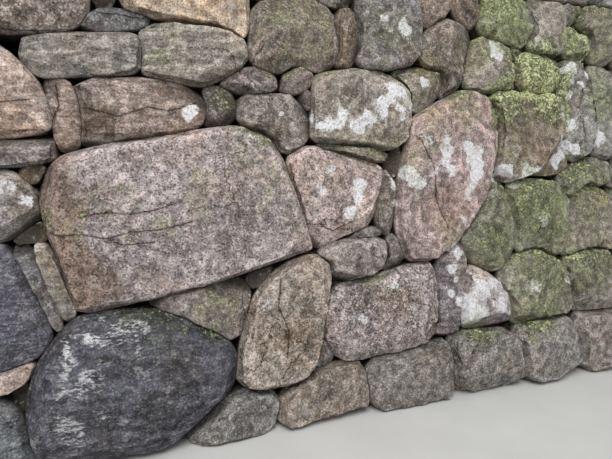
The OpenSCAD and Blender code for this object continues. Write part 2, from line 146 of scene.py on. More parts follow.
# What each kind of rock looks like.
# facets: flat cuts knocked off the outer side; planes: depth in metres of the broken planes that meet in
# low steps; rough: depth of the finer carving; layers: depth of layered ridges and the direction across
# them; fleck: share of crystals that show; mid: the rock's middle colour on the screen.
ROCKS = {
    "great_granite": dict(facets=7, planes=0.0035, rough=0.0035, fleck=0.6, mid=(155, 145, 146)),
    "dark_boulder": dict(facets=5, planes=0.0050, rough=0.0030, fleck=0.15, mid=(94, 92, 94),
                         layers=(0.003, (0.25, 0, 1))),
    "red_stone": dict(facets=9, planes=0.0045, rough=0.0045, fleck=0.4, mid=(169, 150, 148)),
    "grey_granite": dict(facets=9, planes=0.0040, rough=0.0045, fleck=0.7, mid=(150, 138, 136)),
    "tan_granite": dict(facets=9, planes=0.0045, rough=0.0045, fleck=0.5, mid=(160, 147, 135)),
    "pink_granite": dict(facets=10, planes=0.0045, rough=0.0045, fleck=0.6, mid=(177, 156, 147)),
    "brown_stone": dict(facets=8, planes=0.0045, rough=0.0045, fleck=0.4, mid=(140, 130, 121)),
    "tan_stone": dict(facets=9, planes=0.0050, rough=0.0035, fleck=0.3, mid=(156, 139, 126),
                      layers=(0.003, (0.28, 0, 1))),
    "banded_stone": dict(facets=7, planes=0.0035, rough=0.0035, fleck=0.3, mid=(132, 126, 119),
                         layers=(0.005, (-0.1, 0, 1))),
    "slim_stone": dict(facets=6, planes=0.0035, rough=0.0035, fleck=0.3, mid=(144, 134, 122),
                       layers=(0.003, (1, 0, 0.3))),
    "slab_stone": dict(facets=4, planes=0.0030, rough=0.0035, fleck=0.3, mid=(132, 122, 115)),
    "dark_stone": dict(facets=8, planes=0.0050, rough=0.0040, fleck=0.25, mid=(108, 106, 110),
                       layers=(0.003, (0.5, 0, 0.9))),
    "pale_stone": dict(facets=8, planes=0.0045, rough=0.0045, fleck=0.4, mid=(166, 161, 159)),
    "orange_stone": dict(facets=8, planes=0.0045, rough=0.0040, fleck=0.35, mid=(172, 155, 137)),
    "lichen_stone": dict(facets=9, planes=0.0045, rough=0.0045, fleck=0.4, mid=(146, 139, 129)),
    "purple_brown_stone": dict(facets=8, planes=0.0045, rough=0.0045, fleck=0.35, mid=(118, 109, 102)),
    "mossy_stone": dict(facets=8, planes=0.0045, rough=0.0045, fleck=0.3, mid=(140, 134, 124)),
    "footing_stone": dict(facets=8, planes=0.0045, rough=0.0040, fleck=0.4, mid=(130, 123, 116)),
    "pinning_stone": dict(facets=4, planes=0.0025, rough=0.0030, fleck=0.3, mid=(126, 117, 108)),
    "cover_stone": dict(facets=10, planes=0.0060, rough=0.0060, fleck=0.4, mid=(144, 141, 133)),
    "back_stone": dict(facets=10, planes=0.0060, rough=0.0060, fleck=0.45, mid=(146, 138, 128)),
    "end_stone": dict(facets=10, planes=0.0060, rough=0.0060, fleck=0.4, mid=(140, 134, 126)),
    "small_stone_fill": dict(facets=0, planes=0, rough=0, fleck=0.2, mid=(84, 78, 70)),
}

# A place on the drawing that is nearer than this to a stone's middle means that stone
SAME_STONE = 9

# Stones whose colour differs from their kind: (along, up) of the stone and its middle colour on the screen
OWN_COLOURS = [
    # banded_stones
    (39, 110, (112, 106, 104)),
    (62, 145, (134, 128, 121)),
    # dark_boulder
    (66, 30, (77, 77, 84)),
    # grey_block
    (100, 148, (140, 133, 124)),
    # grey_foot_stone
    (24, 15, (112, 116, 120)),
    # leaning_red_stone
    (216, 104, (166, 147, 142)),
    # left_grey_boulder
    (24, 54, (103, 103, 114)),
    # left_tan_stone
    (32, 128, (166, 149, 139)),
    # lichen_stone
    (173, 132, (140, 132, 122)),
    # long_tan_stone
    (79, 126, (130, 116, 108)),
    # mossy_shelf_stone
    (265, 121, (136, 124, 112)),
    # mossy_stones_a
    (241, 77, (122, 122, 104)),
    (302, 171, (141, 142, 127)),
    (303, 101, (126, 124, 112)),
    # mossy_stones_b
    (259, 177, (139, 141, 115)),
    (266, 45, (132, 129, 114)),
    # mossy_stones_c
    (271, 80, (124, 125, 105)),
    # oval_stone
    (167, 66, (136, 126, 122)),
    # pale_base_stone
    (235, 42, (170, 164, 163)),
    # purple_brown_stone
    (105, 51, (134, 124, 119)),
    # round_pale_stone
    (34, 91, (146, 141, 138)),
    # slim_uprights
    (50, 63, (190, 188, 184)),
    (55, 123, (138, 121, 110)),
    (184, 88, (122, 113, 106)),
    (216, 45, (124, 116, 118)),
    # thin_slabs
    (31, 31, (188, 171, 160)),
    (46, 62, (116, 115, 117)),
    (171, 112, (122, 113, 104)),
    # top_granite
    (43, 166, (124, 113, 105)),
    # upper_stones_a
    (110, 130, (112, 103, 96)),
    (187, 167, (112, 107, 104)),
    # upper_stones_b
    (125, 140, (122, 112, 107)),
    (204, 142, (126, 121, 106)),
    # upper_stones_c
    (144, 141, (122, 110, 104)),
]

# Planes split off single stones: (along, up) of the stone, the way the plane looks, its depth in metres
SPLITS = [
    # dark_boulder
    (66, 30, (0.15, -0.62, 0.78), 0.04), (66, 30, (-0.75, -0.64, 0.1), 0.025),
    # granite_block
    (181, 42, (0.0, -0.72, 0.7), 0.014),
    # great_stone
    (92, 89, (-0.62, -0.78, 0.1), 0.012), (92, 89, (0.05, -0.75, -0.66), 0.01),
    # leaning_red_stone
    (216, 104, (-0.68, -0.72, 0.1), 0.016), (216, 104, (0.62, -0.78, -0.1), 0.014),
    # left_grey_boulder
    (24, 54, (0.2, -0.68, 0.7), 0.026),
    # left_tan_stone
    (32, 128, (0.35, -0.75, 0.56), 0.02), (32, 128, (-0.1, -0.8, -0.6), 0.016),
    # lichen_stone
    (173, 132, (0.1, -0.74, 0.66), 0.014),
    # long_tan_stone
    (79, 126, (-0.1, -0.72, -0.69), 0.022), (79, 126, (0.1, -0.78, 0.62), 0.012),
    # mossy_shelf_stone
    (265, 121, (0.0, -0.6, 0.8), 0.02),
    # pink_stone
    (159, 93, (-0.5, -0.8, -0.3), 0.016), (159, 93, (0.2, -0.7, 0.68), 0.016),
    # round_pale_stone
    (34, 91, (0.45, -0.75, 0.48), 0.018),
    # rounded_brown_stone
    (135, 124, (-0.4, -0.75, 0.5), 0.016),
    # tan_upright
    (137, 43, (0.62, -0.76, 0.2), 0.022), (137, 43, (-0.55, -0.8, 0.2), 0.012),
]

# Pale lichen patches on the front face: (along, up, radius, strength if thin) in drawing units
LICHEN = [
    # banded_stones
    (64, 142, 5, 0.34),
    # dark_boulder
    (62, 46, 5, 0.62), (54, 44, 4, 0.6), (72, 46, 5, 0.5), (78, 44, 5, 0.46), (56, 45, 4, 0.5),
    (62, 45, 4, 0.58), (68, 46, 3, 0.5), (56, 38, 5, 0.5), (60, 35, 5, 0.52), (54, 30, 4, 0.52),
    (57, 27, 4, 0.5), (63, 28, 4, 0.42), (52, 21, 4, 0.42), (58, 18, 5, 0.44), (66, 20, 4, 0.38),
    (98, 36, 4, 0.34),
    # granite_block
    (184, 54, 2), (168, 40, 2, 0.7), (192, 44, 3, 0.5),
    # leaning_red_stone
    (196, 99, 5.5), (214, 112, 5), (213, 106, 4.5), (226, 110, 5), (228, 104, 5), (225, 98, 4.5),
    (220, 82, 3, 0.7), (215, 102, 2.5, 0.8), (231, 112, 3), (204, 118, 3, 0.6), (217, 69, 2),
    # left_grey_boulder
    (16, 62, 6, 0.42),
    # lichen_stone
    (189, 139, 6), (191, 131, 7), (186, 135, 6), (196, 132, 4), (157, 125, 5), (171, 124, 4.5),
    # long_tan_stone
    (100, 126, 2.4),
    # mossy_shelf_stone
    (248, 105, 4.5), (258, 101, 5), (266, 103, 3, 0.7), (252, 112, 3, 0.5), (286, 136, 2.5),
    (286, 131, 2.5), (285, 121, 2.5),
    # mossy_stones_a
    (242, 100, 3),
    (248, 164, 4),
    # mossy_stones_b
    (286, 48, 3, 0.7), (262, 46, 3, 0.7),
    (312, 122, 4, 0.8),
    # mossy_stones_c
    (268, 80, 3, 0.8),
    (276, 166, 4, 0.8),
    # pale_base_stone
    (228, 46, 7), (226, 38, 5), (236, 50, 4, 0.8), (239, 40, 3, 0.7),
    # pink_stone
    (167, 92, 4), (165, 87, 3), (168, 97, 3), (156, 104, 2, 0.6), (152, 96, 2, 0.6),
    # pinning_stones
    (289, 115, 4), (285, 110, 3),
    # round_pale_stone
    (43, 93, 3, 0.8), (36, 98, 4, 0.6), (30, 90, 3, 0.5),
    # rounded_brown_stone
    (136, 127, 1.4),
    # slim_uprights
    (188, 88, 2.5, 0.6),
    (219, 64, 1.8, 0.9), (216, 58, 2, 0.8), (218, 53, 1.6, 0.8), (215, 47, 2, 0.8),
    # tall_lichen_stone
    (292, 142, 4), (290, 127, 5), (294, 153, 4), (306, 140, 4, 0.7), (294, 150, 2.5), (293, 144, 2),
    (295, 114, 3), (306, 160, 2.5, 0.8), (305, 154, 2.5, 0.8), (300, 150, 4, 0.7),
    # tan_upright
    (126, 52, 5, 0.5),
    # upper_stones_a
    (196, 166, 3), (186, 170, 3, 0.8),
    # upper_stones_b
    (206, 144, 2),
    # upper_stones_c
    (230, 150, 3),
]

# Moss on the front face: (along, up, radius, strength) in drawing units
MOSS = [
    # bright_moss_stone
    (274, 150, 20, 1),
    # dark_boulder
    (84, 46, 12, 0.25),
    # granite_block
    (176, 52, 8, 0.35),
    # great_stone
    (130, 96, 12, 0.36), (120, 112, 10, 0.4), (142, 84, 8, 0.38), (60, 90, 5, 0.42), (76, 90, 8, 0.34),
    (66, 92, 5, 0.34), (48, 86, 4, 0.46), (57, 83, 4, 0.42), (77, 81, 4, 0.42), (88, 83, 6, 0.45),
    (104, 86, 5, 0.36), (100, 100, 8, 0.4),
    # grey_block
    (98, 153, 10, 0.26), (88, 146, 6, 0.4),
    # head_stones_a
    (340, 112, 26, 0.45),
    (345, 172, 22, 0.4),
    # head_stones_b
    (345, 62, 26, 0.45),
    # leaning_red_stone
    (226, 134, 9, 0.55), (208, 124, 7, 0.42), (197, 108, 9, 0.36), (205, 118, 9, 0.4), (196, 97, 7, 0.32),
    (214, 76, 8, 0.46),
    # lichen_stone
    (160, 116, 7, 0.36), (176, 114, 8, 0.36),
    # mossy_shelf_stone
    (252, 136, 14, 0.85), (282, 136, 12, 0.8), (252, 112, 9, 0.46),
    # mossy_stones_a
    (241, 70, 12, 0.62),
    (234, 162, 12, 0.5),
    (300, 172, 14, 0.75),
    (300, 94, 18, 0.55),
    (300, 56, 20, 0.5),
    # mossy_stones_b
    (256, 184, 16, 0.7),
    (272, 50, 18, 0.6), (262, 32, 10, 0.5),
    (318, 142, 16, 0.6),
    # mossy_stones_c
    (268, 84, 20, 0.62),
    (322, 182, 20, 0.5),
    # pale_base_stone
    (228, 30, 8, 0.46),
    # pinning_stones
    (192, 114, 7, 0.36),
    # purple_brown_stone
    (106, 47, 9, 0.45),
    # upper_stones_a
    (112, 132, 6, 0.45),
    (145, 162, 18, 0.4),
    (188, 166, 14, 0.4),
    # upper_stones_c
    (216, 154, 12, 0.42),
]

# Brown stains on the front face: (along, up, radius, strength) in drawing units
STAINS = [
    # banded_stones
    (60, 148, 9, 0.35),
    # dark_boulder
    (70, 51, 10, 0.35), (84, 46, 9, 0.35), (92, 28, 9, 0.5), (84, 20, 9, 0.4),
    # granite_block
    (192, 50, 8, 0.35),
    # great_stone
    (49, 97, 9, 0.8), (52, 88, 10, 0.8), (53, 76, 9, 0.8), (58, 66, 10, 0.9), (65, 60, 8, 0.7),
    (54, 104, 7, 0.6), (66, 93, 8, 0.5), (72, 86, 8, 0.3), (86, 62, 9, 0.4), (112, 92, 8, 0.4),
    (114, 77, 9, 0.45), (119, 102, 8, 0.4), (96, 108, 8, 0.3),
    # leaning_red_stone
    (208, 90, 10, 0.5), (216, 84, 8, 0.5), (224, 96, 9, 0.35),
    # left_tan_stone
    (30, 122, 10, 0.4),
    # lichen_stone
    (160, 140, 8, 0.4),
    # long_tan_stone
    (66, 122, 8, 0.6), (86, 130, 8, 0.4),
    # mossy_shelf_stone
    (258, 118, 10, 0.5), (270, 112, 8, 0.4),
    # orange_top_stone
    (104, 172, 16, 0.35),
    # pink_stone
    (158, 104, 9, 0.4),
    # rounded_brown_stone
    (132, 120, 8, 0.4),
    # tan_upright
    (140, 36, 9, 0.4),
    # top_granite
    (40, 166, 16, 0.4),
]

# Cracks on the front face, as lines of (along, up) in drawing units
CRACKS = [
    # great_stone
    [(44, 84), (49, 82), (53, 80.5), (60, 81), (64, 80), (68, 79), (76, 81), (87, 81.5), (98, 84)],
    [(60, 87), (69, 88.5), (76, 87.5), (84, 88.5), (92, 91)],
    [(68, 79), (74, 76.5), (84, 77)],
    # leaning_red_stone
    [(200, 118), (206, 104), (206, 90), (212, 78)],
    # left_tan_stone
    [(22, 132), (34, 126), (44, 128)],
    # long_tan_stone
    [(62, 126), (74, 123), (84, 127), (92, 126), (102, 130)],
    # pink_stone
    [(146, 81), (151, 81), (157, 78), (166, 82)],
    # slim_uprights
    [(52, 122), (54, 126), (53, 134)],
    # tan_upright
    [(132, 60), (130, 50), (134, 40), (133, 30)],
]


# Noise for carving

def lattice(ix, iy, iz, seed):
    """A repeatable value in -1..1 at each lattice point."""
    h = ix * 374761393 + iy * 668265263 + iz * 1440670441 + seed * 974634777
    h = (h ^ (h >> 13)) * 1274126177
    h &= 0xFFFFFFFF
    return ((h ^ (h >> 16)) & 0xFFFF) / 32767.5 - 1


def noise(points, scale, seed):
    """Smooth noise in -1..1 with features about scale metres wide (scale may differ by axis)."""
    q = points / np.asarray(scale, float) + seed * 7.31
    cell = np.floor(q).astype(np.int64)
    t = q - cell
    t = t * t * t * (t * (t * 6 - 15) + 10)
    total = np.zeros(len(points))
    for dx in (0, 1):
        wx = t[:, 0] if dx else 1 - t[:, 0]
        for dy in (0, 1):
            wy = t[:, 1] if dy else 1 - t[:, 1]
            for dz in (0, 1):
                wz = t[:, 2] if dz else 1 - t[:, 2]
                total += wx * wy * wz * lattice(cell[:, 0] + dx, cell[:, 1] + dy, cell[:, 2] + dz, seed)
    return total


def fractal(points, scale, octaves, seed):
    total = np.zeros(len(points))
    for i in range(octaves):
        total += noise(points, np.asarray(scale, float) / 2 ** i, seed + i) / 2 ** i
    return total


def octaves_to(finest, scale):
    """How many octaves from scale down stay no finer than finest."""
    return 1 + max(0, int(math.log2(scale / finest)))


def smoothstep(low, high, value):
    t = np.clip((value - low) / (high - low), 0, 1)
    return t * t * (3 - 2 * t)


# Meshes as arrays

def parts_of(count, faces):
    """For each of count points, the lowest point of the connected part it belongs to."""
    lowest = np.arange(count)
    changed = True
    while changed:
        before = lowest.copy()
        np.minimum.at(lowest, faces.reshape(-1), np.repeat(lowest[faces].min(axis=1), faces.shape[1]))
        lowest = lowest[lowest]
        changed = not np.array_equal(before, lowest)
    return lowest


def used_only(points, faces):
    """The points that the faces use, and the faces numbered to match."""
    used, index = np.unique(faces, return_inverse=True)
    return points[used], index.reshape(faces.shape)


def shells(obj):
    """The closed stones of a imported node, each as (points, triangles)."""
    mesh = obj.data
    points = np.empty(len(mesh.vertices) * 3)
    mesh.vertices.foreach_get("co", points)
    points = points.reshape(-1, 3)
    mesh.calc_loop_triangles()
    tris = np.empty(len(mesh.loop_triangles) * 3, int)
    mesh.loop_triangles.foreach_get("vertices", tris)
    tris = tris.reshape(-1, 3)
    _, first, welded = np.unique(np.round(points, 5), axis=0, return_index=True, return_inverse=True)
    tris = welded.reshape(-1)[tris]
    points = points[first]
    part = parts_of(len(points), tris)[tris[:, 0]]
    return [used_only(points, tris[part == lowest]) for lowest in np.unique(part)]


def divided(points, tris):
    """Each triangle in four, twice, so that the squeeze bends its sides evenly."""
    for _ in range(2):
        edges = np.sort(np.concatenate([tris[:, [0, 1]], tris[:, [1, 2]], tris[:, [2, 0]]]), axis=1)
        unique, index = np.unique(edges, axis=0, return_inverse=True)
        ab, bc, ca = np.split(index.reshape(-1) + len(points), 3)
        points = np.concatenate([points, points[unique].mean(axis=1)])
        a, b, c = tris.T
        corners = ((a, ab, ca), (ab, b, bc), (ca, bc, c), (ab, bc, ca))
        tris = np.concatenate([np.column_stack(three) for three in corners])
    return points, tris


def remeshed(points, faces, voxel):
    """The same closed shape as even quads about voxel metres wide, without crumbs."""
    mesh = bpy.data.meshes.new("work")
    mesh.from_pydata(points.tolist(), [], faces.tolist())
    obj = bpy.data.objects.new("work", mesh)
    bpy.context.scene.collection.objects.link(obj)
    remesh = obj.modifiers.new("remesh", "REMESH")
    remesh.mode = "VOXEL"
    remesh.voxel_size = voxel
    result = obj.evaluated_get(bpy.context.evaluated_depsgraph_get()).to_mesh()
    co = np.empty(len(result.vertices) * 3)
    result.vertices.foreach_get("co", co)
    corners = np.empty(len(result.loops), int)
    result.loops.foreach_get("vertex_index", corners)
    quads = corners.reshape(-1, 4)
    obj.to_mesh_clear()
    bpy.data.objects.remove(obj)
    bpy.data.meshes.remove(mesh)
    part = parts_of(len(co) // 3, quads)[quads[:, 0]]
    lowest, sizes = np.unique(part, return_counts=True)
    return used_only(co.reshape(-1, 3), quads[part == lowest[sizes.argmax()]])


def neighbour_middle(points, quads):
    """The middle of each point's neighbours."""
    total = np.zeros_like(points)
    count = np.bincount(quads.reshape(-1), minlength=len(points)) * 2
    for i in range(4):
        both = points[quads[:, (i + 1) % 4]] + points[quads[:, i - 1]]
        for axis in range(points.shape[1]):
            total[:, axis] += np.bincount(quads[:, i], both[:, axis], len(points))
    return total / count[:, None]


def without_spikes(points, quads, voxel, movable):
    """Draws in the movable points that stand off their neighbours."""
    for _ in range(SPIKE_PASSES):
        middle = neighbour_middle(points, quads)
        spiky = movable & (np.linalg.norm(points - middle, axis=1) > SPIKE_SHARE * voxel)
        points = np.where(spiky[:, None], middle, points)
    return points


def softened(values, quads, times):
    """Values at the points, each time spread to their neighbours."""
    for _ in range(times):
        values = (values + neighbour_middle(values[:, None], quads)[:, 0]) / 2
    return values


def normals_of(points, quads):
    face = np.cross(points[quads[:, 2]] - points[quads[:, 0]], points[quads[:, 3]] - points[quads[:, 1]])
    total = np.zeros_like(points)
    for i in range(4):
        for axis in range(3):
            total[:, axis] += np.bincount(quads[:, i], face[:, axis], len(points))
    return total / np.maximum(np.linalg.norm(total, axis=1), 1e-12)[:, None]


def enclosed(points, quads):
    """The volume inside, less than nothing when the faces look inwards."""
    a, b, c, d = (points[quads[:, i]] for i in range(4))
    halves = np.einsum("ij,ij->i", a, np.cross(b, c)) + np.einsum("ij,ij->i", a, np.cross(c, d))
    return halves.sum() / 6


# Points turned so that their second number is the depth behind the face they belong to

def to_face(points, side, sign):
    x, y, z = points.T
    if side == "front":
        return np.column_stack([x, y + BASE_THICKNESS / 2 - z * FRONT_SLOPE, z])
    if side == "back":
        return np.column_stack([x, BASE_THICKNESS / 2 - z * BACK_SLOPE - y, z])
    return np.column_stack([y, HALF_LENGTH - sign * x, z])


def from_face(points, side, sign):
    x, depth, z = points.T
    if side == "front":
        return np.column_stack([x, depth - BASE_THICKNESS / 2 + z * FRONT_SLOPE, z])
    if side == "back":
        return np.column_stack([x, BASE_THICKNESS / 2 - z * BACK_SLOPE - depth, z])
    return np.column_stack([sign * (HALF_LENGTH - depth), x, z])


def squeezed(points, centre, deepest):
    """Draws in what lies deep behind the face."""
    beyond = np.maximum(points[:, 1] - FULL_DETAIL_DEPTH, 0)
    share = 1 - HIDDEN_SHRINK * np.clip(beyond / (deepest - FULL_DETAIL_DEPTH), 0, 1)
    result = centre + (points - centre) * share[:, None]
    result[:, 1] = points[:, 1] - beyond + beyond / HIDDEN_SQUEEZE
    return result


def stretched_back(points, centre, deepest):
    """Undoes squeezed."""
    beyond = np.maximum(points[:, 1] - FULL_DETAIL_DEPTH, 0) * HIDDEN_SQUEEZE
    share = 1 - HIDDEN_SHRINK * np.clip(beyond / (deepest - FULL_DETAIL_DEPTH), 0, 1)
    result = centre + (points - centre) / share[:, None]
    result[:, 1] = points[:, 1] - beyond / HIDDEN_SQUEEZE + beyond
    return result


def side_of(node):
    for side in ("back", "end", "cover"):
        if node.startswith(side):
            return side
    return "front"


def patches_at(points, patches, seed, edge, ragged_by):
    """1 inside the patches and 0 outside, with ragged edges."""
    along = (points[:, 0] + HALF_LENGTH) / UNIT
    up = points[:, 2] / UNIT
    ragged = fractal(points, 0.06, 2, seed)
    mask = np.zeros(len(points))
    for patch in patches:
        x, z, radius = patch[:3]
        strength = patch[3] if len(patch) > 3 else 1
        reach = np.hypot(along - x, up - z) / radius + ragged_by * ragged
        mask = np.maximum(mask, strength * (1 - smoothstep(1 - edge, 1 + edge, reach)))
    return mask


def crack_distances(points):
    """How far each point is from the nearest drawn crack in metres, and the same with a minus on one
    side of it."""
    place = np.column_stack([(points[:, 0] + HALF_LENGTH) / UNIT, points[:, 2] / UNIT])
    nearest = np.full(len(points), float(CRACK_REACH))
    side = np.ones(len(points))
    for line in CRACKS:
        for start, end in zip(np.array(line, float), np.array(line[1:], float)):
            way, across = end - start, place - start
            share = np.clip(across @ way / (way @ way), 0, 1)
            reach = np.linalg.norm(across - share[:, None] * way, axis=1)
            turn = np.where(way[0] * across[:, 1] < way[1] * across[:, 0], -1, 1)
            side = np.where(reach < nearest, turn, side)
            nearest = np.minimum(nearest, reach)
    return nearest * UNIT, nearest * side * UNIT


def split_off(points, centre, direction, depth):
    """Cuts a plane off a stone, depth metres below its furthest point that way."""
    direction = direction / np.linalg.norm(direction)
    reach = (points - centre) @ direction
    over = np.maximum(reach - reach.max() + depth, 0)
    return points - (over * CUT_SHARE)[:, None] * direction


def facets_cut(points, centre, outward, count, deepest, random):
    """Knocks flat cuts off the outer side of a stone, as a hammer or frost does."""
    for i in range(count):
        turned = LITTLE_TURNED if i % 3 == 0 else MUCH_TURNED
        direction = random.normal(size=3) * turned + outward
        points = split_off(points, centre, direction, deepest * random.uniform(0.2, 1))
    return points


def broken_planes(points, spacing, seed, random):
    """Tilted planes that meet in low steps, about -1..1."""
    low, high = points.min(axis=0), points.max(axis=0)
    count = int(np.clip(np.ptp(points[:, [0, 2]], axis=0).prod() / spacing ** 2, *PLANE_COUNTS))
    seeds = random.uniform(low, high, (count, 3))
    push = np.column_stack([noise(points, 0.07, seed + i) for i in range(3)])
    bent = points + PLANE_RAGGED * spacing * push
    nearest = ((bent[:, None] - seeds) ** 2).sum(axis=2).argmin(axis=1)
    tilt = random.normal(size=(count, 3)) * PLANE_TILT
    level = random.uniform(-PLANE_STEP, PLANE_STEP, count)
    return level[nearest] + ((points - seeds[nearest]) * tilt[nearest]).sum(axis=1) / spacing


def contact_of(points, normals, side, sign):
    """How deep each point lies behind the wall's surface, and how much it belongs to a joint, 0..1."""
    if side == "cover":
        return np.zeros(len(points)), 1 - smoothstep(0, 0.02, points[:, 2] - FACE_TOP)
    depth = to_face(points, side, sign)[:, 1]
    contact = smoothstep(0.0, JOINT_RECESS, depth)
    from_end = HALF_LENGTH - np.abs(points[:, 0])
    if from_end.min() < AT_END:
        facing_out = smoothstep(0.35, 0.7, sign * normals[:, 0]) * (from_end < END_TAPER)
        contact = contact * (1 - facing_out)
        depth = np.minimum(depth, from_end) * (1 - facing_out)
    return depth, contact


def ridges_of(points, rock, finest, seed):
    """Layered ridges, in metres."""
    amount, across = rock["layers"]
    across = np.array(across, float) / np.linalg.norm(across)
    along = np.array([across[2], 0, -across[0]])
    level = points @ across + 0.012 * fractal(points, 0.2, 2, seed + SEEDS["wander"])
    # The ridges run ten times as long as they are wide
    layered = np.column_stack([level, points @ along * 0.1, points[:, 1] * 0.1])
    return amount * (noise(layered, max(LAYER_WIDTH, finest), seed + SEEDS["layers"]) - 0.3)


def growth_on(points, side):
    """Moss, lichen and stain at each point: as drawn on the front, and by chance elsewhere."""
    if side == "front":
        return (patches_at(points, MOSS, SEEDS["moss"], 0.5, 0.4),
                patches_at(points, LICHEN, SEEDS["lichen"], 0.55, 0.9),
                patches_at(points, STAINS, SEEDS["stain"], 0.6, 0.4))
    return (0.5 * smoothstep(-0.1, 0.8, fractal(points, 0.6, 3, SEEDS["far_moss"])),
            0.8 * smoothstep(0.6, 0.85, fractal(points, 0.14, 3, SEEDS["far_lichen"])),
            0.8 * smoothstep(0.1, 0.9, fractal(points, 0.4, 3, SEEDS["far_stain"])))


def carved(points, quads, voxel, rock, side, seed, random):
    """A remeshed stone with facets, broken planes, layers and moss cushions, and its surface masks."""
    finest = 2 * voxel
    centre = points.mean(axis=0)
    sign = math.copysign(1, centre[0])
    size = np.ptp(points, axis=0).max()
    outward = {"front": np.array([0, -1, 0.15]), "back": np.array([0, 1, 0.1]),
               "end": np.array([sign, 0, 0.1]), "cover": np.array([0, -0.3, 1])}[side]
    deepest = FACET_DEPTH[side] * min(1, FACET_SHARE * size)
    points = facets_cut(points, centre, outward, rock["facets"], deepest, random)
    if side == "front":
        for x, z, direction, deep in SPLITS:
            if apart(centre, x, z) < SAME_STONE:
                points = split_off(points, centre, np.array(direction), deep)
    normals = normals_of(points, quads)
    depth, contact = contact_of(points, normals, side, sign)
    planes = softened(broken_planes(points, PLANE_WIDTH, seed, random), quads, 2)
    octaves = octaves_to(finest, ROUGH_WIDTH)
    middle = fractal(points, max(ROUGH_WIDTH, finest), octaves, seed + SEEDS["rough"])
    pits = np.minimum(noise(points, max(PIT_WIDTH, finest), seed + SEEDS["pits"]) + 0.35, 0)
    # The carving cuts in more than it stands out
    move = rock["planes"] * (np.clip(planes, -2, 2) - 0.7) + rock["rough"] * (middle - 0.5 + 1.6 * pits)
    if "layers" in rock:
        move += ridges_of(points, rock, finest, seed)
    # Where neighbours touch, the stone keeps its full size and about 2 mm more
    move = move * (1 - contact) + contact * (0.002 + 0.0015 * middle)
    ledge = smoothstep(0.2, 0.9, normals[:, 2])
    moss, lichen, stain = growth_on(points, side)
    moss = np.clip(moss * (0.8 + 0.4 * ledge) + 0.15 * ledge + 0.1 * middle * (moss > 0.05), 0, 1)
    cushions = smoothstep(0.5, 0.95, moss + 0.3 * fractal(points, 0.05, 2, seed + SEEDS["tufts"]))
    uneven = noise(points, max(CUSHION_WIDTH, finest), seed + SEEDS["cushions"])
    move += cushions * (1 - contact) * (CUSHION_HEIGHT + CUSHION_UNEVEN * uneven)
    points = without_spikes(points + move[:, None] * normals, quads, voxel, depth < SPIKE_DEPTH)
    if side == "front":
        crack, crack_side = crack_distances(points)
    else:
        crack = crack_side = np.full(len(points), CRACK_REACH * UNIT)
    # How far each point stands out from its neighbours: bulges get pale wear and painted highlight,
    # hollows painted shade
    bulge = ((points - neighbour_middle(points, quads)) * normals).sum(axis=1)
    bulge = softened(bulge, quads, 3)
    return points, {"moss": moss, "lichen": lichen, "stain": stain,
                    "crack": crack, "crack_side": crack_side,
                    # Darker with depth behind the face: dirt and painted shade in the joints
                    "dirt_and_shade": smoothstep(0, JOINT_RECESS + DIRT_AND_SHADE_DEEPER, depth),
                    "worn": np.clip(0.5 + bulge / (WEAR_AND_SHADE_BULGE * voxel ** 2), 0, 1)}


def dressed_stone(points, tris, rock, side, seed, random):
    """Finer points and faces for one packed stone, with its surface masks."""
    centre = points.mean(axis=0)
    sign = math.copysign(1, centre[0])
    at_end = np.abs(points[:, 0]).max() > HALF_LENGTH - AT_END
    along = (points[:, 0] + HALF_LENGTH) / UNIT
    if side == "front":
        seen = along.max() > SEEN_FROM and along.min() < SEEN_TO
        voxel = FAR_VOXEL if at_end or not seen else SEEN_VOXEL
    else:
        voxel = COVER_VOXEL if side == "cover" or at_end and side == "back" else BACK_VOXEL
    if side == "cover" or at_end and side != "end":
        points, quads = remeshed(points, tris, voxel)
    else:
        flat = to_face(points, side, sign)
        middle, deepest = flat.mean(axis=0), flat[:, 1].max()
        flat, tris = divided(flat, tris)
        flat, quads = remeshed(squeezed(flat, middle, deepest), tris, voxel)
        points = from_face(stretched_back(flat, middle, deepest), side, sign)
    if enclosed(points, quads) < 0:
        quads = quads[:, ::-1]
    points = (points + neighbour_middle(points, quads)) / 2
    points, masks = carved(points, quads, voxel, rock, side, seed, random)
    return points, quads, masks


def apart(centre, along, up):
    """How far a stone's middle is from a place on the face drawing, in drawing units."""
    return math.hypot((centre[0] + HALF_LENGTH) / UNIT - along, centre[2] / UNIT - up)


def colour_of(centre, side, rock, random):
    """The middle colour of one stone."""
    x, z, colour = min(OWN_COLOURS, key=lambda own: apart(centre, own[0], own[1]))
    if side == "front" and apart(centre, x, z) < SAME_STONE:
        return srgb(*colour)
    shade = 1 + random.uniform(-0.08, 0.07) * (1 if side == "front" else 2)
    warm = random.normal() * 3
    r, g, b = (v * shade for v in rock["mid"])
    return srgb(r + warm, g, b - warm)


def piece_from(name, parts, material):
    """One object from several stones given as (points, quads, masks, colour)."""
    start = 0
    all_quads = []
    for points, quads, _, _ in parts:
        all_quads.append(quads + start)
        start += len(points)
    points = np.concatenate([part[0] for part in parts])
    quads = np.concatenate(all_quads)
    mesh = bpy.data.meshes.new(name)
    mesh.vertices.add(len(points))
    mesh.vertices.foreach_set("co", points.reshape(-1))
    mesh.loops.add(quads.size)
    mesh.loops.foreach_set("vertex_index", quads.reshape(-1))
    mesh.polygons.add(len(quads))
    mesh.polygons.foreach_set("loop_start", np.arange(len(quads)) * 4)
    mesh.update(calc_edges=True)
    for key in parts[0][2]:
        values = np.concatenate([part[2][key] for part in parts]).astype(np.float32)
        mesh.attributes.new(key, "FLOAT", "POINT").data.foreach_set("value", values)
    colours = np.concatenate([np.tile(part[3], (len(part[0]), 1)) for part in parts]).astype(np.float32)
    mesh.attributes.new("rock", "FLOAT_COLOR", "POINT").data.foreach_set("color", colours.reshape(-1))
    mesh.shade_smooth()
    mesh.materials.append(material)
    obj = bpy.data.objects.new(name, mesh)
    bpy.context.scene.collection.objects.link(obj)
    return obj


# Materials

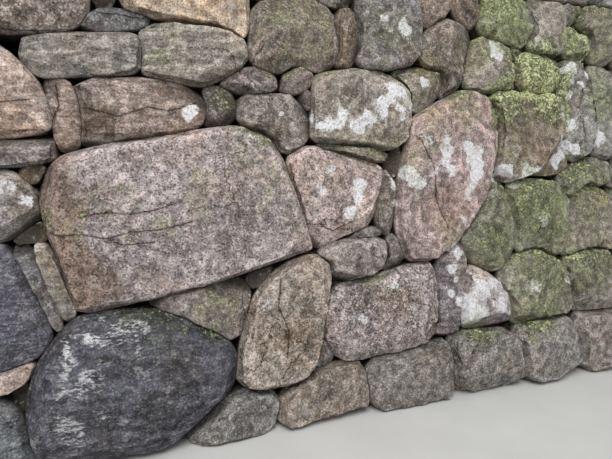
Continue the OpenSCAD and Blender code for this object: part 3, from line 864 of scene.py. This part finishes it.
class Shader:
    """A node material built one node at a time."""

    def __init__(self, name):
        self.material = bpy.data.materials.new(name)
        self.material.use_nodes = True
        self.tree = self.material.node_tree
        self.tree.nodes.clear()
        self.place = self.node("ShaderNodeTexCoord").outputs["Object"]

    def set(self, made, key, value):
        if isinstance(value, bpy.types.NodeSocket):
            self.tree.links.new(value, made.inputs[key])
        else:
            made.inputs[key].default_value = value

    def node(self, kind, inputs=None, **settings):
        made = self.tree.nodes.new(kind)
        for key, value in settings.items():
            setattr(made, key, value)
        for key, value in (inputs or {}).items():
            self.set(made, key, value)
        return made

    def noise(self, scale, detail=4, roughness=0.6, place=None):
        return self.node("ShaderNodeTexNoise", {
            "Vector": place or self.place, "Scale": scale, "Detail": detail,
            "Roughness": roughness}).outputs["Fac"]

    def crystals(self, scale):
        """An even random value for each crystal."""
        cells = self.node("ShaderNodeTexVoronoi", {"Vector": self.place, "Scale": scale})
        return self.node("ShaderNodeSeparateColor", {"Color": cells.outputs["Color"]}).outputs[0]

    def shaded_clumps(self, scale):
        """Small round tufts, 1 at the middle of each and less towards its edge; as colour, painted light
        in each tuft's middle and painted shade at its edge.
        """
        cells = self.node("ShaderNodeTexVoronoi", {"Vector": self.place, "Scale": scale})
        return self.spread(cells.outputs["Distance"], 0.1, 0.75, 1, 0)

    def bent(self, amount):
        """The place on the stone, pushed about by noise times amount metres."""
        push = self.node("ShaderNodeTexNoise", {
            "Vector": self.place, "Scale": 7, "Detail": 4, "Roughness": 0.65}).outputs["Color"]
        return self.node("ShaderNodeVectorMath", {0: push, 1: (amount,) * 3, 2: self.place},
                         operation="MULTIPLY_ADD").outputs[0]

    def stretched(self, scale, turn):
        """Places for streaks that wander a little."""
        return self.node("ShaderNodeMapping", {
            "Vector": self.bent(0.07), "Scale": scale, "Rotation": turn}).outputs[0]

    def cracks(self, scale, width):
        """Thin wandering lines about width metres wide, 1 on a line and 0 off it."""
        cells = self.node("ShaderNodeTexVoronoi", {"Vector": self.bent(0.22), "Scale": scale},
                          feature="DISTANCE_TO_EDGE")
        return self.spread(cells.outputs["Distance"], 0, width * scale, 1, 0)

    def math(self, operation, a, b=0.5, c=0.0):
        return self.node("ShaderNodeMath", {0: a, 1: b, 2: c}, operation=operation).outputs[0]

    def ramp(self, factor, stops):
        made = self.node("ShaderNodeValToRGB", {"Fac": factor})
        elements = made.color_ramp.elements
        elements[0].position, elements[0].color = stops[0]
        elements[1].position, elements[1].color = stops[-1]
        for position, colour in stops[1:-1]:
            elements.new(position).color = colour
        return made.outputs["Color"]

    def spread(self, value, low, high, to_low=0.0, to_high=1.0):
        return self.node("ShaderNodeMapRange", {
            "Value": value, "From Min": low, "From Max": high, "To Min": to_low, "To Max": to_high},
            interpolation_type="SMOOTHSTEP").outputs["Result"]

    def mix(self, factor, a, b):
        made = self.node("ShaderNodeMix", data_type="RGBA")
        for index, value in ((0, factor), (6, a), (7, b)):
            self.set(made, index, value)
        return made.outputs[2]

    def scaled(self, colour, value):
        """A colour made lighter or darker by a number."""
        return self.node("ShaderNodeVectorMath", {0: colour, "Scale": value}, operation="SCALE").outputs[0]

    def tinted(self, factor, colour, tint):
        """A colour multiplied by a tint as far as the factor goes."""
        full = self.node("ShaderNodeVectorMath", {0: colour, 1: tint}, operation="MULTIPLY").outputs[0]
        return self.mix(factor, colour, full)

    def mask(self, name, output="Fac"):
        return self.node("ShaderNodeAttribute", attribute_name=name).outputs[output]

    def finish(self, colour, roughness, height, strength=0.7, distance=0.004):
        bump = self.node("ShaderNodeBump", {"Height": height, "Strength": strength, "Distance": distance})
        surface = self.node("ShaderNodeBsdfPrincipled", {
            "Base Color": colour, "Roughness": roughness, "Specular IOR Level": 0.25,
            "Normal": bump.outputs[0]})
        output = self.node("ShaderNodeOutputMaterial")
        self.tree.links.new(surface.outputs[0], output.inputs[0])
        return self.material


LICHEN_WHITE = srgb(230, 229, 231)
LICHEN_GREY = srgb(181, 179, 176)
MOSS_DARK = srgb(56, 61, 43)
MOSS_MID = srgb(128, 136, 102)
MOSS_BRIGHT = srgb(212, 217, 160)
# Dark brown of dirt and of painted shade deep in the joints
DIRT_AND_SHADE = srgb(44, 38, 32)
DARK_CRYSTAL = srgb(58, 52, 50)
PALE_CRYSTAL = srgb(216, 208, 204)
# Tints of the rock where it is damp, brown, rusty or green with algae, and in cracks; beside the cracks,
# painted shade
DAMP = (0.60, 0.57, 0.56)
BROWN = (0.66, 0.60, 0.53)
RUSTY = (1.02, 0.93, 0.84)
GREENISH = (0.83, 0.88, 0.71)
IN_CRACK = (0.24, 0.21, 0.19)
# Painted shade beside the drawn cracks
SHADE_BY_CRACK = (0.5, 0.46, 0.42)
# A value from the first number to the second shades the rock from the third to the fourth
MOTTLING = (0.3, 0.7, 0.7, 1.3)
GRAIN = (0.3, 0.7, 0.3, 1.76)
LAYERING = (0.35, 0.65, 0.7, 1.28)
# Bulges painted lighter, as wear and painted highlight, and hollows darker, as painted shade
WEAR_AND_PAINTED_LIGHT = (0.2, 0.85, 0.62, 1.25)


def grained(s, body, fleck):
    """Broad, middle and fine mottling, and dark and pale crystals a few millimetres wide. Returns the
    colour and the middle and fine mottling."""
    body = s.scaled(body, s.spread(s.noise(5, 5, 0.6), *MOTTLING))
    mottle = s.noise(30, 6, 0.72)
    body = s.scaled(body, s.spread(mottle, *MOTTLING))
    fine = s.noise(150, 5, 0.8)
    body = s.scaled(body, s.spread(fine, *GRAIN))
    crystal = s.crystals(160)
    body = s.mix(s.math("MULTIPLY", s.spread(crystal, 0.2, 0.12), fleck), body, DARK_CRYSTAL)
    body = s.mix(s.math("MULTIPLY", s.spread(crystal, 0.78, 0.88), fleck * 0.8), body, PALE_CRYSTAL)
    return body, mottle, fine


def weathered(s, body, damp):
    """Rust, brown stains, and damp that has run down."""
    body = s.tinted(s.spread(s.noise(3.6, 5, 0.65), 0.46, 0.68), body, RUSTY)
    stain = s.math("MULTIPLY_ADD", s.noise(16, 6, 0.7), 1.2, s.math("ADD", s.mask("stain"), -0.6))
    body = s.tinted(s.spread(stain, 0.1, 0.7), body, BROWN)
    run = s.noise(1, 5, 0.65, s.stretched((18, 18, 2.2), (0, 0, 0)))
    return s.tinted(s.spread(run, 0.53, 0.72, 0, damp), body, DAMP)


def cracked(s, body, ragged):
    """Hair cracks on some of the stone, and the drawn cracks with soft painted shade beside them. Returns
    the colour and the cracks."""
    crack = s.math("MULTIPLY", s.cracks(2.3, 0.006), s.spread(s.noise(2.6, 2), 0.5, 0.62))
    off_line = s.math("MULTIPLY_ADD", s.math("ADD", ragged, -0.5), 0.02, s.mask("crack_side"))
    drawn = s.spread(s.math("ABSOLUTE", off_line), 0.001, 0.0035, 1, 0)
    drawn = s.math("MULTIPLY", drawn, s.spread(s.mask("crack"), 0.008, 0.012, 1, 0))
    crack = s.math("MAXIMUM", crack, drawn)
    # Painted shade beside the drawn cracks
    body = s.tinted(s.spread(s.mask("crack"), 0, 0.014, 0.45, 0), body, SHADE_BY_CRACK)
    return s.tinted(s.math("MULTIPLY", crack, 0.9), body, IN_CRACK), crack


def lichened(s, body, ragged):
    """Thin grey lichen in spots, and white lichen in patches."""
    spots = s.spread(s.math("MULTIPLY_ADD", ragged, 0.6, s.noise(19, 5, 0.7)), 0.88, 0.98)
    body = s.mix(s.math("MULTIPLY", spots, 0.42), body, LICHEN_GREY)
    patch = s.math("ADD", s.mask("lichen"), s.math("MULTIPLY_ADD", ragged, 2.6, -1.3))
    patch = s.spread(patch, 0.42, 0.62)
    chalk = s.ramp(s.noise(110, 5, 0.75), [(0.36, LICHEN_GREY), (0.58, LICHEN_WHITE)])
    thick = s.math("MULTIPLY", s.spread(s.mask("lichen"), 0.3, 0.75, 0.45, 0.95), patch)
    thick = s.math("MULTIPLY", s.spread(s.noise(55, 6, 0.8), 0.38, 0.52, 0.4, 1), thick)
    return s.mix(thick, body, chalk)


def mossed(s, body):
    """Algae round the moss, and moss thickest on ledges, each tuft painted light in its middle and with
    painted shade at its edge. Returns the colour, how much moss covers the rock, and the blade pattern
    with that shade."""
    body = s.tinted(s.spread(s.mask("moss"), 0.1, 0.6), body, GREENISH)
    cushion = s.noise(48, 7, 0.85)
    cover = s.math("ADD", s.mask("moss"), s.math("MULTIPLY_ADD", cushion, 4, -2))
    cover = s.spread(cover, 0.45, 0.85)
    # Tufts painted bright in the middle and dark at the edge, as painted light and painted shade, with a
    # fine blade noise
    blades_and_tuft_shade = s.math("MULTIPLY_ADD", s.shaded_clumps(85), 0.4, s.noise(130, 5, 0.8))
    green = s.ramp(s.math("MULTIPLY_ADD", s.noise(9, 5), 0.4, s.math("MULTIPLY", blades_and_tuft_shade, 0.6)),
                   [(0.44, MOSS_DARK), (0.55, MOSS_MID), (0.67, MOSS_BRIGHT)])
    return s.mix(s.math("MULTIPLY", cover, 0.9), body, green), cover, blades_and_tuft_shade


def rock_material(name, rock):
    s = Shader(name)
    body = s.mask("rock", "Color") if rock["facets"] else s.ramp(0.5, [(0, srgb(*rock["mid"]))] * 2)
    body, mottle, fine = grained(s, body, rock["fleck"])
    if "layers" in rock:
        across = rock["layers"][1]
        turn = (0, -math.atan2(across[0], across[2]), 0)
        layers = s.noise(1, 5, 0.65, s.stretched((6, 6, 80), turn))
        body = s.scaled(body, s.spread(layers, *LAYERING))
        ragged = s.noise(1, 6, 0.75, s.stretched((28, 28, 110), turn))
        damp = 0.3
    else:
        layers = None
        ragged = s.noise(70, 6, 0.75)
        damp = 1
    body = weathered(s, body, damp)
    body, crack = cracked(s, body, ragged)
    # Bulging edges are painted pale, as wear and painted highlight, hollows darker as painted shade, and
    # deep joints get dirt and painted shade
    body = s.scaled(body, s.spread(s.mask("worn"), *WEAR_AND_PAINTED_LIGHT))
    # Darker deep behind the face, as dirt and painted shade in the joints
    body = s.mix(s.math("MULTIPLY", s.mask("dirt_and_shade"), 0.85), body, DIRT_AND_SHADE)
    body = lichened(s, body, ragged)
    body, cover, blades_and_tuft_shade = mossed(s, body)
    height = s.math("MULTIPLY_ADD", fine, 0.55, mottle)
    height = s.math("MULTIPLY_ADD", crack, -0.9, height)
    height = s.math("MULTIPLY_ADD", cover, s.math("MULTIPLY_ADD", blades_and_tuft_shade, 1.2, 0.3), height)
    if layers is not None:
        height = s.math("MULTIPLY_ADD", layers, 0.8, height)
    return s.finish(body, 0.88, height)


# Camera, light and floor

def aim(obj, place, forward):
    obj.location = place
    obj.rotation_euler = Vector(forward).to_track_quat("-Z", "Y").to_euler()
    bpy.context.scene.collection.objects.link(obj)


def add_camera():
    data = bpy.data.cameras.new("photo_view")
    data.sensor_width = SENSOR_WIDTH
    data.lens = SENSOR_WIDTH * FOCAL_PIXELS / PHOTO_WIDTH
    data.clip_start = 0.05
    obj = bpy.data.objects.new("photo_view", data)
    forward = (math.sin(CAMERA_YAW) * math.cos(CAMERA_PITCH),
               math.cos(CAMERA_YAW) * math.cos(CAMERA_PITCH), -math.sin(CAMERA_PITCH))
    aim(obj, CAMERA_PLACE, forward)
    bpy.context.scene.camera = obj


def add_light(name, place, target, size, watts):
    data = bpy.data.lights.new(name, "AREA")
    data.shape = "DISK"
    data.size = size
    data.energy = watts
    obj = bpy.data.objects.new(name, data)
    aim(obj, place, Vector(target) - Vector(place))


def add_world():
    world = bpy.data.worlds.new("soft_sky")
    bpy.context.scene.world = world
    world.use_nodes = True
    nodes, links = world.node_tree.nodes, world.node_tree.links
    background = nodes["Background"]
    path = nodes.new("ShaderNodeLightPath")
    strength = nodes.new("ShaderNodeMapRange")
    strength.inputs["To Min"].default_value = SKY_ON_STONE
    strength.inputs["To Max"].default_value = SKY_IN_VIEW
    links.new(path.outputs["Is Camera Ray"], strength.inputs["Value"])
    links.new(strength.outputs["Result"], background.inputs["Strength"])
    background.inputs["Color"].default_value = SKY_COLOUR


def add_floor():
    mesh = bpy.data.meshes.new("floor")
    corners = [(x * FLOOR_REACH, y * FLOOR_REACH, 0) for x, y in ((-1, -1), (1, -1), (1, 1), (-1, 1))]
    mesh.from_pydata(corners, [], [(0, 1, 2, 3)])
    floor = bpy.data.objects.new("floor", mesh)
    bpy.context.scene.collection.objects.link(floor)
    s = Shader("floor")
    colour = s.ramp(s.noise(3, 3), [(0.3, srgb(198, 197, 194)), (0.7, srgb(206, 205, 202))])
    mesh.materials.append(s.finish(colour, 0.9, s.noise(400, 2), 0.05, 0.001))


# Dress every node

bpy.context.scene.view_settings.view_transform = "Standard"
add_camera()
add_world()
for panel in PANELS:
    add_light(*panel)
add_floor()

slot_of = {part["node"]: part["material_slot"] for part in frame["record"]["subparts"]}
materials = {slot: rock_material(slot, ROCKS[slot]) for slot in sorted(set(slot_of.values()))}

totals = {}
for order, (node, obj) in enumerate(sorted(frame["nodes"].items())):
    slot = slot_of[node]
    rock = ROCKS[slot]
    side = side_of(node)
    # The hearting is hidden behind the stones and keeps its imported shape
    if node == "hearting":
        obj.data.materials.clear()
        obj.data.materials.append(materials[slot])
        continue
    parts = []
    for i, (points, tris) in enumerate(shells(obj)):
        seed = FIRST_SEED + order * NODE_SEEDS + i * STONE_SEEDS
        random = np.random.default_rng(seed)
        colour = colour_of(points.mean(axis=0), side, rock, random)
        points, quads, masks = dressed_stone(points, tris, rock, side, seed, random)
        parts.append((points, quads, masks, colour))
        totals[side] = totals.get(side, 0) + len(quads) * 2
    piece = piece_from(node + "_dressed", parts, materials[slot])
    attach(piece, "root")
    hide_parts(node)
print("triangles", totals, sum(totals.values()))
